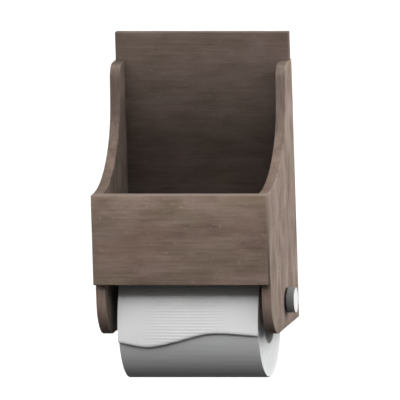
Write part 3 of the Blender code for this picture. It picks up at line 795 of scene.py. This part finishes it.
def makeKnob():
    low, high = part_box("rod_knob")
    radius = (high.z - low.z) / 2
    disc = roundBar(low.x, high.x, rodMiddle, radius, knob["sides"], "chrome_knob")
    edit(disc)
    pick(disc, "FACE", lambda f: f.normal.x < -0.9)       # the hole for the stud
    bpy.ops.mesh.inset(thickness=radius - rod["studRadius"] - knob["studGap"], use_even_offset=True)
    bpy.ops.mesh.extrude_region_move(TRANSFORM_OT_translate={"value": (knob["holeDepth"], 0, 0)})
    for at in (low.x, high.x):
        pickRim(disc, at, rodMiddle, radius)
        roundEdges(knob["chamfer"], knob["chamferSteps"])
    pick(disc, "FACE", lambda f: f.normal.x > 0.9 and len(f.verts) > 4)       # the dish in its face
    bpy.ops.mesh.inset(thickness=knob["dishRim"], use_even_offset=True)
    bpy.ops.mesh.inset(thickness=knob["dish"], use_even_offset=True)
    bpy.ops.transform.translate(value=(-knob["dish"], 0, 0))
    smooth(disc, 30)
    dress(disc, "rod", "rod_knob", knobChrome())


washer = dict(sides=128, easedEdge=0.25 * mm, edgeSteps=3, studGap=0.35 * mm,
              black=rgb(0.010, 0.010, 0.010), grit=rgb(0.035, 0.034, 0.033))


def blackRubber():
    paint = Paint("black rubber")
    grit = paint.evenNoise(paint.coords(), 1800, detail=3)
    colour = paint.mix(grit, washer["black"], washer["grit"])
    return paint.finish(colour, 0.70 + (grit - 0.5) * 0.3, grit, depth=0.05 * mm, strength=0.5,
                        Specular_IOR_Level=0.1)


def makeWasher():
    low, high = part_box("rod_washer")
    radius = (high.z - low.z) / 2
    ring = roundBar(low.x, high.x, rodMiddle, radius, washer["sides"], "rubber_washer")
    edit(ring)
    pick(ring, "FACE", lambda f: abs(f.normal.x) > 0.9)
    bpy.ops.mesh.inset(thickness=radius - rod["studRadius"] - washer["studGap"], use_even_offset=True)
    bpy.ops.mesh.bridge_edge_loops()
    for at in (low.x, high.x):
        pickRim(ring, at, rodMiddle, radius)
        roundEdges(washer["easedEdge"], washer["edgeSteps"])
    smooth(ring, 35)
    dress(ring, "washer", "rod_washer", blackRubber())


makeRod()
makeKnob()
makeWasher()
print("rod, knob and washer turned")


# hangers and dowels keep their CAD shape and get their finish

hangers = dict(zinc=(0.42, 0.43, 0.44), zincRough=0.42, screw=(0.47, 0.45, 0.40), screwRough=0.36)
dowel = dict(pale=rgb(0.64, 0.49, 0.33), dark=rgb(0.46, 0.32, 0.19))


def paleDowel():
    paint = Paint("beech dowel")
    fleck = paint.evenNoise(paint.coords(), 900, detail=3)
    colour = paint.mix(fleck, dowel["dark"], dowel["pale"])
    return paint.finish(colour, 0.68 + (fleck - 0.5) * 0.2, fleck, depth=0.08 * mm, strength=0.5)


def finishNodes(word, material):      # every CAD node with the word in its name
    for name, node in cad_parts.items():
        if word in name:
            node.data.materials.clear()
            node.data.materials.append(material)


finishNodes("keyhole_plate", brushedSteel("zinc plate", hangers["zinc"], "z", hangers["zincRough"]))
finishNodes("plate_screw", brushedSteel("screw steel", hangers["screw"], "x", hangers["screwRough"]))
finishNodes("dowel", paleDowel())
print("hangers and dowels finished")


# floor, light and camera

studio = dict(floorDrop=0.20, floorSize=14.0,
              floorSeen=rgb(0.78, 0.78, 0.78), floorUnlit=rgb(0.04, 0.04, 0.04),
              zenith=1.68, below=0.045, rightward=0.35, front=6.8, rear=1.4,
              lampFrom=(0.60, 0.16, 0.14), lampSize=0.60, lampPower=4.4)
window = dict(sill=(0.405, 0.445), dim=(0.52, 0.62), top=(0.8, 1.2),      # as slopes above the horizon
              dimBy=0.6)
view = dict(azimuth=11.11, elevation=8.98, roll=1.758, frameWidth=0.3271, aim=(0.0048, -0.0595, -0.1061),
            away=2.0)


def seenDirectly(paint):      # 1 for rays that show the background itself, 0 for the light on things
    seen = [paint.node("LightPath", output="Is " + kind + " Ray")
            for kind in ("Camera", "Glossy", "Transmission")]
    return paint.span(seen[0] + seen[1] + seen[2], 0.0, 1.0)


def makeFloor():
    nothing()
    bpy.ops.mesh.primitive_plane_add(size=studio["floorSize"],
                                     location=(0, 0, cadLow.z - studio["floorDrop"]))
    floor = settle("floor")
    paint = Paint("pale floor")
    x, y = paint.coords()[:2]
    mottle = paint.noise(x * 6, y * 6, 0.0, detail=3)
    colour = paint.mix(seenDirectly(paint), studio["floorUnlit"], studio["floorSeen"])
    floor.data.materials.append(paint.finish(colour, 0.9 + (mottle - 0.5) * 0.05, Specular_IOR_Level=0.0))


def makeLamp():       # a soft box high on the right, a little behind the wall's face
    nothing()
    bpy.ops.object.light_add(type="AREA", location=studio["lampFrom"])
    lamp = bpy.context.active_object
    back = Vector(studio["lampFrom"]) - Vector(view["aim"])
    lamp.rotation_euler = back.to_track_quat("Z", "Y").to_euler()
    lamp.data.energy, lamp.data.size = studio["lampPower"], studio["lampSize"]


def makeWorld():      # a pale sky, fullest overhead and on the right, and dark below
    paint = Paint("studio", bpy.data.worlds, "Background")
    bpy.context.scene.world = paint.material
    way = paint.node("TexCoord", output="Generated")
    right, back, up = [paint.node("SeparateXYZ", inputs={0: way}, output=axis) for axis in "XYZ"]
    overhead = paint.span(up, 0.03, 1.0) * studio["zenith"] * (1.0 + right * studio["rightward"])
    ahead = paint.maths("MAXIMUM", 0.0 - back, 0.001)
    slope = up / ahead        # a long low window in front, fading upwards in two steps
    pane = (paint.span(slope, *window["sill"]) - paint.span(slope, *window["dim"]) * window["dimBy"]
            - paint.span(slope, *window["top"]) * (1 - window["dimBy"]))
    behind = paint.span(back - up, 0.2, 1.0) * studio["rear"]
    light = overhead + studio["below"] + ahead * pane * studio["front"] + behind
    seen = seenDirectly(paint)
    paint.plug(paint.shader.inputs["Strength"], light * (1.0 - seen) + seen)
    paint.shader.inputs["Color"].default_value = rgb(1, 1, 1)


def makeCamera():
    a, e = math.radians(view["azimuth"]), math.radians(view["elevation"])
    back = Vector((math.sin(a) * math.cos(e), -math.cos(a) * math.cos(e), math.sin(e)))
    nothing()
    bpy.ops.object.camera_add(location=Vector(view["aim"]) + back * view["away"])
    camera = bpy.context.active_object
    camera.rotation_euler = (-back).to_track_quat("-Z", "Y").to_euler()
    camera.rotation_euler.rotate_axis("Z", math.radians(-view["roll"]))
    camera.data.type = "ORTHO"
    camera.data.ortho_scale = view["frameWidth"]
    bpy.context.scene.camera = camera


makeFloor()
makeLamp()
makeWorld()
makeCamera()
bpy.context.scene.view_settings.view_transform = "Standard"
print("studio lit")
